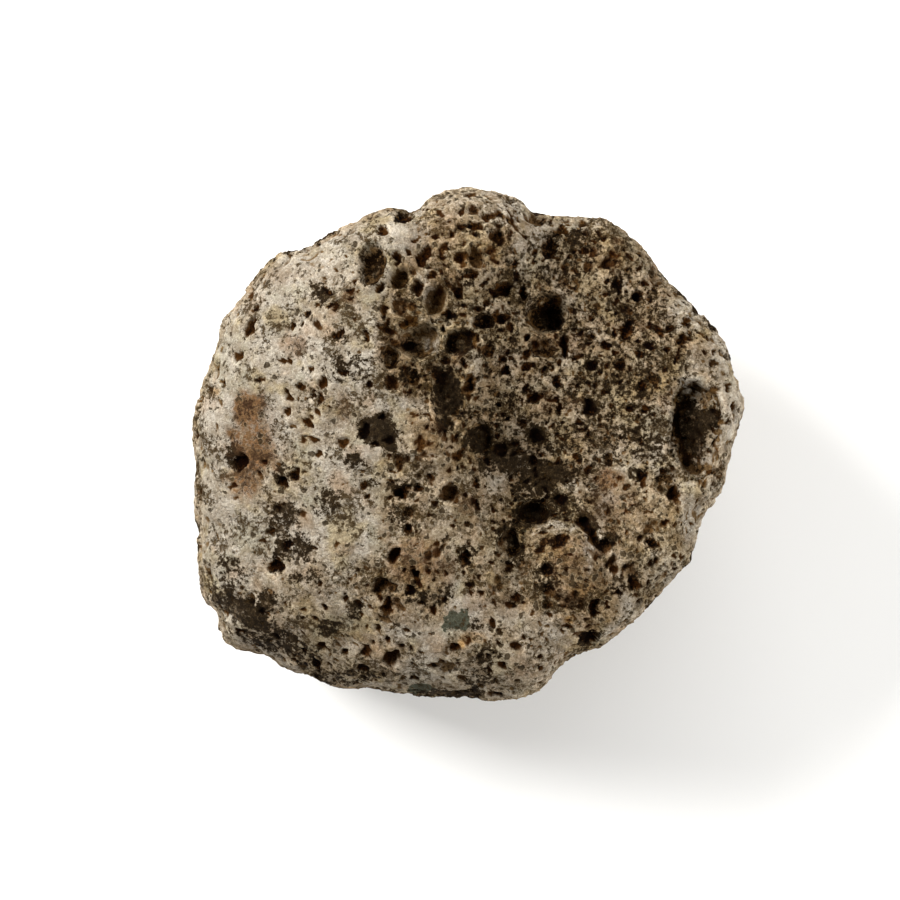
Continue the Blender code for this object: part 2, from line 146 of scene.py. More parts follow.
# Vesicles on the face: column, row, half width, half height, depth, turn in degrees if there is one
PITS = [
    # knob and upper trough
    (372, 266, 12.5, 20, 18, -12), (402, 217, 10, 5.5, 8, 8), (382, 233, 7, 6, 7), (395, 260, 4.5, 9, 9),
    (424, 257, 5.5, 10, 9, -25), (409, 253, 3.5, 3.5, 5), (399, 280, 9.5, 10, 15), (382, 290, 5, 6, 8),
    (418, 289, 7, 8, 10), (452, 235, 3.5, 5, 7), (447, 246, 4, 4, 6), (434, 238, 5, 3.5, 6),
    (432, 275, 5, 4, 6), (439, 292, 4, 5, 6), (414, 240, 4, 3, 4), (459, 258, 8, 5.5, 9, 30),
    (475, 258, 9, 13, 13, 20), (497, 237, 10, 7.5, 11, -35), (475, 228, 10, 4.5, 8), (511, 222, 5, 4, 6),
    (469, 278, 9, 4.5, 7, 10), (503, 289, 6, 9, 12), (521, 292, 4, 8, 10), (459, 293, 5, 6.5, 10),
    (494, 293, 4, 6, 7), (450, 316, 8, 4.5, 8), (477, 309, 5, 4, 6), (534, 249, 3, 5, 6),
    (497, 262, 5, 4, 5), (518, 262, 4, 4, 5), (487, 216, 9, 3.5, 5), (507, 205, 4, 3, 4),
    (440, 213, 4, 3, 4), (428, 207, 3.5, 3, 4), (463, 210, 4, 3, 4), (473, 194, 4, 3, 4),
    # trough and middle
    (435, 302, 10.5, 13.5, 17), (410, 323, 10, 5, 9, 10), (390, 332, 8, 4.5, 9, -10), (385, 312, 5, 8, 7),
    (419, 341, 20, 16, 19, 15), (409, 345, 10, 8, 24), (391, 359, 10, 12, 15), (402, 309, 8, 9, 9),
    (459, 343, 13, 12, 15), (484, 322, 12, 8.5, 14, 8), (502, 317, 7, 5.5, 10), (471, 336, 6, 5, 7),
    (474, 345, 4, 6, 6), (547, 313, 20, 20, 22), (553, 311, 10, 11, 29), (557, 321, 8.5, 8.5, 29),
    (545, 306, 7, 6, 22), (556, 300, 7, 6, 6), (565, 345, 5, 11, 12), (543, 348, 13, 10, 10),
    (526, 337, 4, 4, 8), (489, 350, 7, 8, 5), (562, 225, 8, 5, 7), (549, 244, 8, 13, 9),
    (447, 396, 14, 30, 10), (470, 380, 6, 8, 9), (440, 377, 8, 7, 7), (468, 389, 7, 7, 10),
    (414, 377, 9, 9, 9), (394, 385, 7, 7, 8), (366, 432, 5, 7, 5), (388, 440, 6, 5, 5),
    (375, 444, 5, 4, 4), (383, 420, 6, 4, 5, 20), (422, 443, 4, 10, 5), (457, 455, 6, 8, 8),
    (534, 398, 6.5, 5.5, 11), (499, 404, 4, 4, 8), (560, 408, 3, 9, 7, 8), (527, 366, 6.5, 5, 6),
    (503, 371, 5, 5, 6), (464, 364, 4, 4, 6), (478, 440, 12, 18, 10), (536, 436, 8, 8, 6),
    (498, 450, 8, 7, 6), (557, 384, 5, 4, 6), (449, 494, 10, 8, 14), (400, 494, 6, 5, 10),
    (417, 488, 6, 5, 5), (474, 503, 3.5, 4, 6), (477, 484, 4.5, 5, 6), (492, 509, 3, 3, 4),
    (533, 514, 17, 12, 16), (510, 544, 11, 14, 15), (557, 543, 8, 5, 9, 15), (437, 544, 5, 4, 4),
    (408, 527, 6, 5, 7),
    # nodule, lower face
    (584, 523, 6, 9, 16, 35), (592, 534, 6, 10, 16, 25), (603, 545, 9, 8, 12, 20), (548, 569, 8, 8, 9),
    (548, 590, 7, 9, 7), (394, 556, 6, 10, 14, -30), (418, 576, 3, 5, 12), (380, 584, 8, 8, 12),
    (387, 606, 5, 11, 10, -10), (468, 555, 6, 7, 7), (411, 589, 7, 5, 6), (407, 570, 3, 3, 4),
    (434, 608, 5, 4, 5), (483, 592, 3.5, 3.5, 5), (394, 656, 9.5, 7, 12, 10), (511, 606, 5, 5, 6),
    (504, 664, 5, 4, 6), (593, 608, 5, 8, 11), (589, 641, 10, 5, 11, 25), (522, 633, 3, 4, 4),
    (494, 621, 5, 5, 5), (453, 646, 7, 6, 5), (515, 645, 5, 6, 5), (440, 664, 3, 2.5, 3),
    (407, 632, 4, 3, 4), (517, 597, 6, 5, 5), (493, 697, 6, 3, 6), (567, 570, 3, 3, 4),
    (414, 678, 5, 4, 5),
    # right face
    (637, 296, 6, 7, 10), (615, 287, 7, 6, 6), (608, 262, 9, 8, 7), (592, 236, 3.5, 3, 6),
    (602, 236, 4, 4, 5), (629, 331, 4.5, 13, 8), (604, 344, 3.5, 5, 6), (613, 353, 4.5, 3.5, 5),
    (616, 332, 4.5, 4, 4), (593, 366, 6, 7, 5), (583, 250, 5, 4, 4), (591, 408, 6.5, 8, 6),
    (646, 410, 4, 4, 5), (631, 410, 5, 5, 5), (668, 328, 7, 5, 6), (685, 323, 6, 4, 6, 20),
    (656, 331, 4.5, 5, 4), (684, 339, 8, 3, 6, -10), (678, 352, 2.5, 6, 5, 10), (648, 349, 6, 5, 4),
    (664, 350, 4, 4, 5), (708, 337, 2.5, 4, 5), (715, 352, 3, 3, 3), (704, 353, 2.5, 3.5, 4),
    (645, 284, 5, 4, 5), (674, 495, 6, 8.5, 13), (665, 523, 4.5, 5, 7), (661, 473, 3, 3.5, 6),
    (650, 545, 7, 5, 7), (636, 586, 5.5, 8, 8), (616, 571, 7, 5, 6), (618, 594, 5, 5, 5),
    (697, 384, 4, 4, 5), (713, 390, 6, 4, 6), (730, 388, 3, 5, 6, -15), (733, 407, 3.5, 4.5, 6),
    (722, 420, 5, 5, 9), (714, 445, 3.5, 4, 8), (720, 451, 4, 4, 7), (717, 472, 4, 3.5, 7),
    (705, 484, 4.5, 5, 6), (723, 463, 3, 3, 5), (696, 482, 3, 3, 5), (683, 556, 3, 4, 5),
    (659, 561, 4, 3, 4), (674, 572, 3.5, 4, 5), (640, 606, 4, 4, 4), (729, 421, 3, 3, 4),
    (586, 468, 5, 4, 4), (640, 478, 7, 6, 5), (580, 332, 4, 3.5, 4), (570, 309, 3, 3, 4),
    # left face
    (251, 327, 6, 10, 9, -12), (240, 355, 5, 7, 6, -30), (285, 361, 6, 3, 6, 20), (313, 369, 5, 4, 6, 15),
    (349, 292, 7, 5, 5), (349, 301, 3.5, 4, 4), (294, 326, 3.5, 3.5, 5), (305, 326, 1.8, 2.2, 4),
    (339, 338, 7, 5, 5), (369, 336, 4, 7, 6, 20), (335, 309, 3.5, 7, 4), (327, 291, 4, 6, 4, 20),
    (317, 303, 3, 3, 4), (308, 315, 4, 4, 4), (292, 395, 3.5, 6, 8, 25), (288, 411, 3.5, 6, 5, -20),
    (326, 385, 3, 6, 7), (324, 400, 3, 8, 4, -8), (317, 390, 2.5, 3, 5), (309, 425, 5.5, 3.5, 6, -20),
    (304, 384, 5, 4, 4, 25), (315, 439, 4, 4, 4), (306, 443, 4, 5, 3), (241, 462, 7, 8, 10),
    (281, 482, 5.5, 7.5, 11, 15), (294, 473, 5, 6, 7, 20), (275, 566, 6.5, 5, 7), (322, 453, 3, 5, 5),
    (320, 646, 4, 5.5, 7, -20), (343, 599, 4, 3, 5), (345, 652, 4, 5, 5), (368, 650, 8, 5, 5),
    (261, 541, 3, 2.5, 4), (270, 531, 4.5, 4, 5), (232, 487, 4, 4, 4), (244, 307, 3, 3, 4),
    (254, 309, 3, 4, 4), (224, 403, 3, 3.5, 3), (222, 381, 3, 3.5, 3), (265, 381, 4, 3, 4),
    (320, 249, 2.5, 2.5, 3), (361, 483, 6, 5, 4), (372, 385, 4, 3, 4), (344, 373, 6, 4, 4),
    (240, 634, 5, 4, 5), (226, 614, 4, 4, 4), (316, 667, 5, 7, 6), (362, 671, 7, 5, 5),
    (289, 545, 4, 6, 4), (303, 606, 3, 3, 4), (343, 441, 7, 6, 4),
]

# Foam: vesicles strewn through the whole stone on a jittered lattice. Spacing, least and greatest radius,
# depth as a share of the radius, share of the lattice's cells that hold one, seed
FOAM = [
    (30.0, 9.0, 16.0, 0.6, 0.35, 101), (15.0, 4.5, 9.0, 0.75, 0.70, 103), (8.0, 2.6, 4.8, 0.85, 0.85, 107),
]

WIDE = (5.0, 12.0)          # radii from which vesicles are lit inside, with less painted shade, and at which they are fully so
WIDE_LIT = 0.90             # how much less painted shade the wide ones get
LIP = 3.4                   # height of their raised lips
LIP_WIDTH = 1.8             # and how far outside the vesicle they are highest
WIDE_CALM = 0.6             # how much less the wide ones' outlines stray
FRAYING = [(30.0, 4.0), (14.0, 3.2), (6.2, 2.3)]   # how the vesicles' outlines stray: wavelength, reach
FRAY_SEEDS = (41, 47, 53)   # for columns, rows and heights
STRETCH = 1.12              # how much wider the vesicles are than listed, as their bowls thin out at the rim
BOWL_POWER = 2.5            # steepness of a vesicle's wall, and how much steeper a wide one's is
WIDE_POWER = 2.0
SMOOTH_EDGE = (0.8, 1.0)    # shares of a wide vesicle's radius between which its smooth floor ends
FOAM_KEPT_OUT = 0.8         # how much less foam there is on such a floor
GLOOM = (0.5, 3.5)          # depths from which a vesicle gets painted shade inside, and at which it gets all of it
SOFT_DRAW = 0.15            # range of a cell's draw over which its vesicle grows to full size

# How foamy the face is: column, row, half width, half height, strength, turn in degrees if there is one
FOAMY = [
    (478, 220, 60, 36, 0.65), (472, 272, 66, 56, 0.95), (425, 330, 46, 80, 0.95), (520, 330, 60, 70, 0.75),
    (690, 430, 30, 60, 0.6), (630, 350, 70, 80, 0.7), (650, 530, 50, 60, 0.7), (580, 420, 80, 80, 0.65),
    (540, 520, 60, 60, 0.75), (495, 550, 46, 60, 0.6), (570, 590, 60, 50, 0.75), (400, 590, 60, 40, 0.6),
    (500, 660, 90, 40, 0.45), (360, 655, 80, 30, 0.5), (430, 490, 60, 80, 0.55), (280, 480, 30, 30, 0.4),
    (300, 600, 70, 60, 0.35), (590, 260, 56, 46, 0.75), (470, 420, 60, 70, 0.75), (700, 335, 40, 46, 0.6),
    (660, 270, 50, 40, 0.7), (715, 480, 26, 60, 0.5, 10), (655, 590, 50, 30, 0.5, -42),
    (560, 655, 60, 26, 0.45, -10), (470, 195, 60, 14, 0.5), (330, 420, 50, 40, 0.3),
    (250, 440, 24, 46, 0.1), (340, 300, 40, 50, 0.3),
]
LEFT_FOAM = 0.09            # foaminess where none of those reach
SIDE_FOAM = 0.6             # foaminess of the sides and the underside

# Soft-edged stains and clasts, with painted shade among the dark ones and painted highlight among the pale
# ones: column, row, half width, half height, strength, turn in degrees if there is one. A strength over 1
# makes the soft edge full too
SOOT_AND_SHADE = [
    # painted shade, tinted brown, over the bowl as a whole
    (575, 370, 120, 150, 0.36),
    # knob, upper edge and the big smooth hollow; right of the knob the dark brown foam also carries the
    # knob's painted shadow
    (402, 218, 10, 6, 0.9, -10), (372, 267, 12, 20, 0.9, -12), (475, 230, 14, 8, 0.4),
    (550, 243, 10, 16, 0.6), (570, 232, 22, 12, 0.7), (590, 250, 20, 16, 0.4), (510, 268, 10, 9, 0.5),
    (466, 279, 11, 10, 0.7),
    # upper left
    (320, 294, 9, 13, 0.8, 15), (309, 314, 7, 6, 0.5), (340, 338, 8, 6, 0.5), (350, 368, 24, 16, 0.45),
    # trough and the dark holes beside it
    (409, 346, 10, 8, 0.8), (390, 360, 9, 10, 0.5), (411, 375, 11, 10, 0.8), (450, 319, 8, 6, 0.7),
    (459, 343, 15, 13, 1.0), (484, 322, 13, 9, 0.8), (500, 319, 9, 8, 0.6), (447, 394, 16, 33, 1.2),
    (503, 370, 7, 6, 0.5), (547, 313, 18, 19, 0.8), (553, 317, 15, 17, 1.0), (541, 352, 12, 8, 0.6),
    # upper right clasts
    (614, 286, 11, 10, 0.7), (590, 290, 26, 12, 0.3), (596, 300, 24, 14, 0.35), (636, 297, 8, 6, 0.6),
    (629, 323, 7, 13, 0.7), (657, 303, 9, 9, 0.5), (647, 353, 10, 10, 0.6), (594, 366, 10, 10, 0.8),
    (556, 384, 7, 9, 0.6), (572, 395, 9, 14, 0.5), (591, 408, 10, 11, 1.0), (617, 388, 18, 12, 0.6),
    (641, 392, 7, 11, 0.6), (655, 395, 14, 18, 0.4), (680, 375, 12, 8, 0.6),
    # pocket
    (690, 428, 17, 34, 1.3, 8), (706, 420, 14, 11, 1.4),
    # weathered clast, black clast and the grey one below
    (250, 408, 9, 12, 0.45), (236, 455, 10, 14, 0.8), (379, 431, 21, 18, 1.35), (285, 473, 12, 12, 0.7),
    (355, 462, 11, 8, 0.9), (376, 481, 11, 7, 0.5), (402, 487, 18, 12, 0.6),
    # middle hollow and its arms
    (480, 439, 15, 15, 1.15), (535, 433, 12, 11, 1.1), (560, 448, 18, 12, 0.6),
    (508, 458, 36, 18, 1.1, -20), (490, 462, 14, 14, 0.8), (576, 466, 9, 8, 0.7),
    (545, 474, 30, 17, 1.1, 10), (530, 490, 22, 12, 0.8, 20), (555, 505, 32, 16, 0.7),
    (533, 514, 18, 13, 1.3), (587, 521, 8, 16, 1.1, 40), (605, 541, 13, 9, 0.9, 20),
    (508, 530, 14, 12, 0.9), (516, 549, 10, 14, 0.9),
    # right of the middle
    (640, 440, 24, 22, 0.5), (658, 460, 14, 26, 0.45), (638, 475, 11, 8, 0.8), (652, 548, 11, 10, 0.6),
    # nodule and round clast
    (556, 542, 9, 6, 0.8), (547, 567, 12, 9, 0.8), (548, 584, 16, 10, 0.7), (446, 536, 6, 6, 0.6),
    (466, 553, 11, 12, 0.7), (394, 512, 7, 10, 0.5), (407, 524, 8, 9, 0.6), (417, 595, 16, 9, 0.6),
    (446, 592, 9, 14, 0.6), (475, 620, 7, 9, 0.5), (495, 625, 12, 9, 0.4),
    # left face
    (284, 517, 20, 15, 0.85, 30), (328, 500, 16, 14, 0.6, 40), (295, 547, 19, 17, 0.7),
    (276, 567, 9, 8, 0.9), (305, 576, 20, 8, 0.5), (230, 572, 17, 18, 0.6), (356, 611, 11, 9, 0.7),
    (328, 628, 11, 10, 0.7),
    # dark band at the lower left corner, and painted shade along the lower edge where it turns under
    (222, 596, 16, 14, 0.9, -20), (268, 602, 14, 12, 0.8), (248, 614, 34, 14, 1.1, -32),
    (255, 640, 26, 10, 0.7, -25), (283, 640, 24, 12, 0.8, -35), (305, 657, 20, 14, 0.6, -30),
    (345, 680, 40, 9, 0.55, 5), (440, 696, 60, 6, 0.9, 2), (488, 654, 16, 9, 0.7), (480, 675, 18, 12, 0.4),
    # lower right
    (588, 640, 12, 8, 1.3, 25), (619, 588, 11, 11, 0.7), (635, 585, 8, 10, 0.7),
]
RUST = [
    (250, 410, 18, 24, 1.2), (253, 438, 22, 22, 1.1), (258, 456, 19, 22, 1.1), (245, 482, 19, 16, 1.0),
    (270, 425, 10, 22, 0.35), (300, 346, 12, 12, 0.7), (287, 344, 8, 14, 0.5), (350, 297, 7, 9, 0.8),
    (335, 312, 5, 7, 0.5), (345, 408, 8, 16, 0.45), (430, 242, 20, 20, 0.2), (452, 232, 14, 18, 0.3),
    (412, 268, 12, 10, 0.3), (440, 290, 22, 20, 0.2), (395, 350, 18, 20, 0.35), (416, 560, 34, 26, 0.8),
    (442, 562, 14, 18, 0.6), (428, 438, 14, 20, 0.6), (415, 422, 10, 10, 0.5), (455, 360, 10, 8, 0.5),
    (610, 480, 17, 12, 1.0), (612, 505, 26, 24, 0.55), (568, 560, 22, 30, 0.6), (570, 590, 22, 14, 0.5),
    (616, 250, 5, 12, 0.6), (610, 264, 10, 9, 0.6), (655, 272, 5, 14, 0.7, -25), (640, 326, 6, 8, 0.5),
    (545, 342, 20, 10, 0.55), (575, 345, 10, 14, 0.5), (545, 400, 14, 12, 0.45), (570, 405, 12, 8, 0.45),
    (690, 448, 12, 14, 0.5), (665, 405, 8, 10, 0.5), (700, 350, 16, 10, 0.35), (468, 505, 12, 10, 0.6),
    (475, 600, 14, 10, 0.45), (510, 604, 18, 12, 0.4), (345, 548, 12, 7, 0.5), (385, 530, 8, 14, 0.5),
    (392, 598, 8, 20, 0.4), (460, 500, 10, 8, 0.4), (590, 625, 8, 8, 0.5), (275, 275, 16, 12, 0.35),
    (305, 440, 6, 10, 0.35), (494, 372, 10, 10, 0.25), (530, 378, 12, 10, 0.3), (355, 245, 12, 12, 0.25),
]
OCHRE = [
    (568, 618, 5, 4.5, 1.0), (461, 642, 5, 4, 1.0), (472, 634, 12, 6, 0.7, 10), (215, 392, 6, 5, 0.8, 30),
    (430, 388, 3, 5, 0.7), (480, 637, 8, 5, 0.4), (582, 590, 12, 8, 0.4), (665, 577, 5, 4, 0.5),
]
GREENSTONE = [
    (458, 619, 15, 12, 1.0, 5), (420, 690, 14, 6, 0.9, 5), (512, 530, 12, 6, 0.4),
]
CLEAN_AND_LIT = [
    # knob and its right flank
    (470, 192, 40, 8, 0.6), (470, 205, 50, 18, 0.7), (450, 205, 20, 10, 0.5), (505, 210, 30, 16, 1.5, 20),
    (520, 262, 9, 30, 1.0), (418, 243, 5, 12, 0.5, 20), (484, 270, 10, 14, 0.5), (485, 255, 8, 8, 0.5),
    (590, 222, 30, 8, 0.5),
    # ridges in the trough, paler partly as painted highlight where they catch the light
    (425, 284, 10, 22, 1.2, 10), (397, 306, 9, 9, 0.6), (432, 320, 12, 5, 0.6), (432, 343, 8, 14, 1.6),
    (470, 320, 5, 10, 0.4), (495, 308, 20, 8, 0.6), (527, 300, 5, 16, 0.7, 15), (520, 318, 6, 10, 0.5),
    (475, 372, 9, 18, 0.8), (508, 362, 18, 14, 0.6), (588, 337, 20, 10, 0.6),
    # upper left shoulder and left edge
    (322, 264, 46, 26, 0.9, -20), (357, 241, 12, 9, 0.8), (290, 290, 30, 20, 0.5),
    (226, 335, 16, 36, 0.9, 10), (268, 345, 12, 22, 0.6), (317, 337, 8, 16, 0.5), (222, 400, 24, 34, 0.7),
    (274, 426, 8, 24, 0.6), (297, 429, 12, 12, 0.6), (327, 425, 24, 14, 0.7), (332, 443, 18, 18, 0.6),
    # right edge
    (655, 268, 22, 20, 0.5, 45), (692, 312, 28, 20, 1.3, 45), (722, 347, 14, 26, 1.6),
    (738, 400, 10, 30, 1.4), (727, 445, 10, 26, 0.9, 15), (715, 492, 16, 26, 1.0, 20),
    (698, 525, 16, 30, 1.4, 25), (672, 572, 30, 16, 0.9, -50), (644, 614, 28, 10, 0.8, -42),
    # pocket's rim and floor; the thin strips down its left edge are painted highlight
    (702, 359, 15, 18, 1.2), (693, 388, 13, 16, 1.7), (704, 390, 12, 8, 0.9), (712, 396, 9, 6, 0.9),
    (669, 412, 3, 20, 0.8, 10), (676, 460, 3, 18, 0.8, -28), (718, 440, 10, 16, 0.6, 10),
    (703, 456, 12, 12, 1.3),
    # middle
    (406, 459, 12, 12, 0.6), (440, 458, 12, 18, 0.4), (571, 487, 11, 9, 0.8), (606, 454, 18, 10, 0.6, 20),
    # nodule's lip: painted highlight along its lit crest
    (577, 525, 14, 4, 2.0, 32), (556, 524, 14, 4, 1.5, -12), (548, 529, 16, 5, 0.9, -15),
    (589, 546, 5, 22, 2.0), (532, 538, 10, 10, 0.6), (630, 562, 14, 8, 0.4),
    # left face
    (252, 560, 14, 9, 0.6), (366, 547, 12, 12, 0.4), (352, 583, 26, 12, 0.5), (367, 605, 10, 12, 0.8),
    (348, 645, 14, 10, 0.7),
    # pale patches along the lower edge
    (400, 624, 22, 18, 0.8, -30), (432, 664, 36, 16, 1.0), (546, 629, 23, 27, 1.1),
    (551, 672, 12, 16, 0.8, 30), (505, 693, 26, 8, 0.6),
]
STEEP_FORMS = [form for form in FORMS if form[6] >= 4]    # those whose edges are frayed
FORMS_HELD = (0.90, 1.0)    # shares of the way out between which that fades
SIDE_STAINS = (60, 14.0, 46.0)      # stains scattered over the sides and underside: count, radii
SOOT_AND_SHADE_SEED = 61
RUST_SEED = 67
CLEAN_AND_LIT_SEED = 71
SIDE_STRENGTH = 0.8         # strength of those stains, and the share of it that the rusty ones have
SIDE_RUST = 0.7
SIDE_SLOPE = (-0.1, 0.5)    # upward parts of the normal between which the sides end
SOFT_EDGE = (0.6, 1.25)     # shares of a stain's radius between which it fades
# How stains' outlines stray, and how foamy patches' do: wavelength, share of the radius, seed
UNEVEN = [(16.0, 0.35, 51), (7.0, 0.25, 53)]
RAGGED = [(22.0, 0.25, 49)]
MOST_FOAM = 0.75            # foaminess beyond which the colour doesn't change
# crests found this way get painted highlight, and crevices painted shade
NEAR_ROUNDS = 2             # rounds of smoothing against which fine and broad crests and crevices are told
FAR_ROUNDS = 12
EDGE_NEAR = 0.30            # how much each step above or below them counts
EDGE_FAR = 0.08
SPANS = 128                 # quads along each edge of the wrapping cube: 196,608 triangles in all
UPRIGHT = 0.65              # share of the height at which patterns are read, against crowding on slopes


def fade(low, high, value):
    """Smooth step from 0 at low to 1 at high."""
    share = np.clip((value - low) / (high - low), 0.0, 1.0)
    return share * share * (3.0 - 2.0 * share)


def lattice_noise(points, wavelength, seed):
    """Gradient noise, about -1 to 1: random slopes at a cubic lattice's corners, blended between them."""
    spot = points / wavelength + seed * 7.31
    corner = np.floor(spot).astype(np.int64)
    part = spot - corner
    blend = part ** 3 * (part * (6.0 * part - 15.0) + 10.0)
    total = np.zeros(len(points))
    for step in np.ndindex(2, 2, 2):
        at = corner + step
        key = (at[:, 0] * 73856093) ^ (at[:, 1] * 19349663) ^ (at[:, 2] * 83492791) ^ (seed * 40503)
        key = ((key ^ (key >> 13)) * 1274126177) & 0xFFFFFFFF
        key ^= key >> 16
        slope = np.stack([(key >> shift & 255) / 127.5 - 1.0 for shift in (0, 8, 16)], axis=1)
        weight = np.prod(np.where(step, blend, 1.0 - blend), axis=1)
        total += weight * np.sum(slope * (part - step), axis=1)
    return total * 1.5


def layered(points, layers):
    """Sum of layers of noise, each told by its wavelength, height and seed."""
    return sum(height * lattice_noise(points, wavelength, seed) for wavelength, height, seed in layers)


def outline_radius(angle, smoothing):
    """Distance from the hub to the outline at each angle, from the outline's points joined by straight runs
    and then averaged over an arc of the given half width in radians."""
    points = np.array(OUTLINE, float) - HUB
    around = np.arctan2(-points[:, 1], points[:, 0])
    reach = np.hypot(points[:, 0], points[:, 1])
    offsets = np.linspace(-smoothing, smoothing, 9)
    order = np.argsort(around)
    total = sum(np.interp(angle + o, around[order], reach[order], period=2 * math.pi) for o in offsets)
    return total / len(offsets)


def girdle(angle):
    """Height of the widest line and squareness above it at each angle, averaged over an arc."""
    bearings, *values = np.array(GIRDLE, float).T
    around = np.add.outer(np.linspace(-WIDE_ARC, WIDE_ARC, 7), angle)
    places = np.radians(bearings)
    return [np.interp(around, places, value, period=2 * math.pi).mean(axis=0) for value in values]


def turned(points, column, row, half_width, half_height, turn=0.0):
    """Distance from a grid point along its own turned axes, as a share of its half width and half height."""
    across = points[:, 0] - column
    down = points[:, 1] - row
    angle = math.radians(turn)
    along = across * math.cos(angle) - down * math.sin(angle)
    aside = across * math.sin(angle) + down * math.cos(angle)
    return np.hypot(along / half_width, aside / half_height)


def lowest(grid, planes):
    """Height at grid points of the lowest of some planes, with the edges between them rounded."""
    heights = [h + across * (grid[:, 0] - x) + down * (grid[:, 1] - y) for x, y, h, across, down in planes]
    return -FACET_BLEND * np.log(sum(np.exp(-height / FACET_BLEND) for height in heights))


def face_height(grid, forms):
    """Height of the face at grid points: the lowest of the broad facets, and on it the lumps and hollows,
    each of which falls away as exp(-distance ** steepness)."""
    height = lowest(grid, FACETS)
    for column, row, half_width, half_height, turn, rise, steepness in forms:
        distance = turned(grid, column, row, half_width, half_height, turn)
        height += rise * np.exp(-distance ** steepness)
    return height


def underside_height(grid):
    """Height of the underside at grid points: the highest of its broken faces."""
    return -lowest(grid, [(x, y, -h, -across, -down) for x, y, h, across, down in UNDERSIDE])


def stone_body(sphere, forms):
    """Grid columns, rows and heights of the unweathered body for directions on the unit sphere, which of
    them are on the upper part, and how far out they are as a share of the outline. The polar angle becomes a
    superellipse section that is as wide as the outline and as tall as the face or the underside."""
    polar = np.arccos(np.clip(sphere[:, 2], -1.0, 1.0))
    angle = np.arctan2(sphere[:, 1], sphere[:, 0])
    crown_limit = CROWN_SHARE * math.pi / 2
    upper = polar < crown_limit
    lift = np.where(upper, polar / crown_limit, (math.pi - polar) / (math.pi - crown_limit)) * math.pi / 2
    girdle_height, crown_power = girdle(angle)
    power = np.where(upper, crown_power, BASE_POWER)
    out = np.sin(lift)
    tall = SECTION_SPREAD * np.abs(np.cos(lift))
    size = (out ** power + tall ** power) ** (1.0 / power)
    out, tall = out / size, tall / size
    rim = np.where(upper, fade(*RIM_DETAIL, out), fade(*BASE_DETAIL, out))
    reach = outline_radius(angle, WIDE_ARC) * (1.0 - rim) + outline_radius(angle, NARROW_ARC) * rim
    grid = np.stack([HUB[0] + out * reach * np.cos(angle), HUB[1] - out * reach * np.sin(angle)], axis=1)
    below = np.minimum(underside_height(grid), girdle_height - LEAST_DROP)
    surface = np.where(upper, face_height(grid, forms), below)
    return np.column_stack([grid, girdle_height + (surface - girdle_height) * tall]), upper, out


def held_in(roll, out):
    """The rolling, with its swellings faded out before the outline and its dips right at it."""
    return roll * (1.0 - np.where(roll > 0.0, fade(*SWELLING_HELD, out), fade(*DIPS_HELD, out)))


def above_origin(body):
    """Places right of, behind and above the origin for grid columns, rows and heights."""
    return np.column_stack([body[:, 0] - MIDDLE[0], MIDDLE[1] - body[:, 1], body[:, 2]])


def cube_grid(spans):
    """Six square grids of whole-numbered points on the sides of a cube, welded along the edges, and their
    quads. On each side the two parameters run along the next two axes in turn, so faces point outwards."""
    one, two = np.meshgrid(np.arange(spans + 1), np.arange(spans + 1), indexing="ij")
    first = (one[:-1, :-1] * (spans + 1) + two[:-1, :-1]).ravel()
    ring = np.stack([first, first + spans + 1, first + spans + 2, first + 1], axis=1)
    points, quads = [], []
    for axis in range(3):
        for level in (0, spans):
            side = np.empty((one.size, 3), int)
            side[:, axis] = level
            side[:, (axis + 1) % 3] = one.ravel()
            side[:, (axis + 2) % 3] = two.ravel()
            quads.append((ring if level else ring[:, ::-1]) + len(points) * one.size)
            points.append(side)
    welded, where = np.unique(np.concatenate(points), axis=0, return_inverse=True)
    return welded, where.ravel()[np.concatenate(quads)]


def gathered(faces, values, count):
    """Sum at each point of the values of the quads around it."""
    return np.stack([
        sum(np.bincount(faces[:, side], values[:, axis], count) for side in range(4)) for axis in range(3)
    ], axis=1)


def outward(points, faces):
    """Unit normals at the points, from the area-weighted normals of the quads around them."""
    corners = points[faces]
    quad = np.cross(corners[:, 2] - corners[:, 0], corners[:, 3] - corners[:, 1])
    normal = gathered(faces, quad, len(points))
    return normal / np.linalg.norm(normal, axis=1, keepdims=True)


def smoothed(values, faces, rounds):
    """Values at the points, each replaced a number of times by the mean over the quads around it."""
    around = np.bincount(faces.ravel(), minlength=len(values))[:, None]
    for _ in range(rounds):
        values = gathered(faces, values[faces].mean(axis=1), len(values)) / around
    return values


def lattice_pits(points, spacing, least, greatest, depth_share, filled, seed, foam):
    """Depth of vesicles strewn on a jittered cubic lattice, and the painted shade inside them: a cell may
    hold a bowl, 1 - distance ** power deep, whose radius is drawn for it. The foamier a point, the more
    cells count."""
    cell = np.floor(points / spacing).astype(np.int64)
    depth = np.zeros(len(points))
    gloom = np.zeros(len(points))
    for step in np.ndindex(3, 3, 3):
        at = cell + step - 1
        key = (at[:, 0] * 73856093) ^ (at[:, 1] * 19349663) ^ (at[:, 2] * 83492791) ^ (seed * 40503)
        key = ((key ^ (key >> 13)) * 1274126177) & 0xFFFFFFFF
        key ^= key >> 15
        jitter = np.stack([(key >> shift & 255) / 255.0 for shift in (0, 8, 16)], axis=1)
        centre = (at + jitter) * spacing
        draw = (key >> 24 & 255) / 255.0
        size = np.clip((filled * foam - draw) / SOFT_DRAW, 0.0, 1.0) ** 0.5
        radius = (least + (greatest - least) * (key >> 5 & 127) / 127.0) * size
        distance = np.linalg.norm(points - centre, axis=1) / np.maximum(radius, 0.1)
        bowl = radius * depth_share * (1.0 - np.minimum(distance, 1.0) ** BOWL_POWER)
        depth = np.maximum(depth, bowl)
        gloom = np.maximum(gloom, gloom_of(bowl, radius))
    return depth, gloom


def gloom_of(bowl, radius):
    """How much painted shade darkens a vesicle inside, 0 to 1: wide ones get less, as they let in more
    light.
    """
    return fade(*GLOOM, bowl) * (1.0 - WIDE_LIT * fade(*WIDE, radius))


